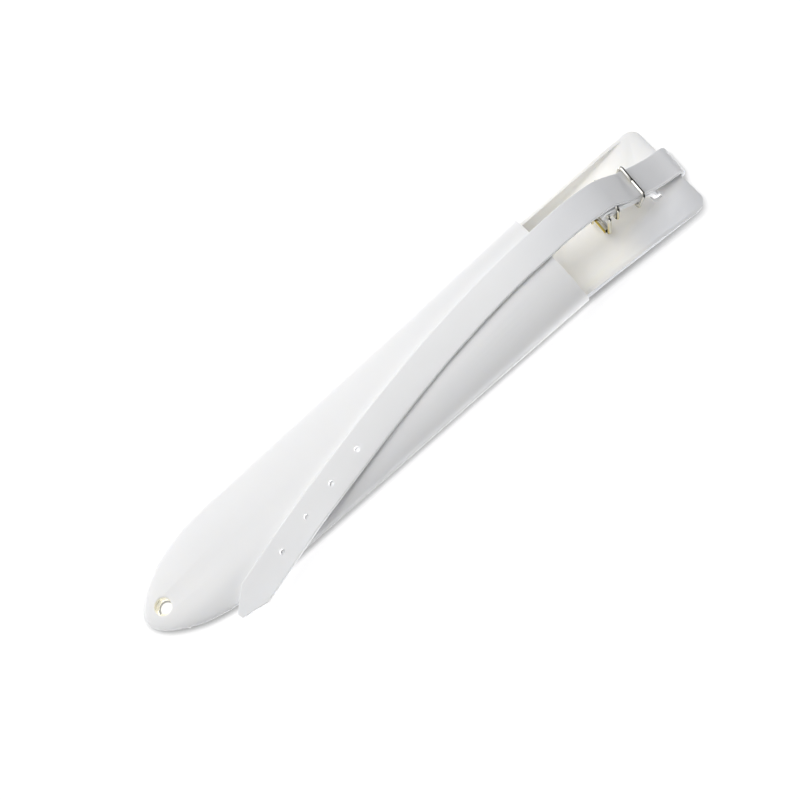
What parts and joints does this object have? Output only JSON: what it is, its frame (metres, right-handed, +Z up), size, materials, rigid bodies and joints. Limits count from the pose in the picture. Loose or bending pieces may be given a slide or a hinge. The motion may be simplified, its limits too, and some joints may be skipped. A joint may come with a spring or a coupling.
{
  "type": "knife blade guard",
  "caption": "Flat white plastic knife blade guard: a tapered scabbard with an open back plate, a grey buckle strap and wire hardware.",
  "frame": {"origin": "axis of the hang hole on the back face", "axes": "+X along the guard from the rounded tip to the back plate, +Y across the guard, +Z up off the back face"},
  "size_m": [0.4289, 0.08, 0.0344],
  "materials": {
    "shell": "satin moulded white plastic",
    "strap": "smooth pale grey vinyl",
    "wire": "nickel-plated wire"
  },
  "bodies": {
    "scabbard": {"front_shell": "shell", "back_shell": "shell", "strap_anchor": "strap"},
    "tail": {"strap_tail": "strap"},
    "buckle": {"buckle_frame": "wire"},
    "roller": {"buckle_roller": "wire"},
    "prong": {"buckle_prong": "wire"},
    "keeper_one": {"tail_keeper": "wire"},
    "keeper_two": {"buckle_keeper": "wire"}
  },
  "joints": [
    {"name": "strap_tail_lift", "type": "hinge", "parent": "scabbard", "child": "tail", "pos_m": [0.3783, 0.00229, 0.02053], "axis": [0.0698, 0.9976, 0], "range_deg": [0, 90]},
    {"name": "buckle_swing", "type": "hinge", "parent": "scabbard", "child": "buckle", "pos_m": [0.35898, 0.00364, 0.02519], "axis": [0.0698, 0.9976, 0], "range_deg": [0, 70]},
    {"name": "roller_spin", "type": "hinge", "parent": "buckle", "child": "roller", "pos_m": [0.35569, 0.00387, 0.00648], "axis": [0.0698, 0.9976, 0], "continuous": true},
    {"name": "prong_swing", "type": "hinge", "parent": "buckle", "child": "prong", "pos_m": [0.35898, 0.00364, 0.02519], "axis": [0.0698, 0.9976, 0], "range_deg": [0, 60]},
    {"name": "tail_keeper_slide", "type": "slide", "parent": "scabbard", "child": "keeper_one", "axis": [-0.8725, 0.061, 0.4848], "range_m": [0, 0.0016]},
    {"name": "buckle_keeper_slide", "type": "slide", "parent": "scabbard", "child": "keeper_two", "axis": [-0.8725, 0.061, 0.4848], "range_m": [0, 0.003]}
  ]
}
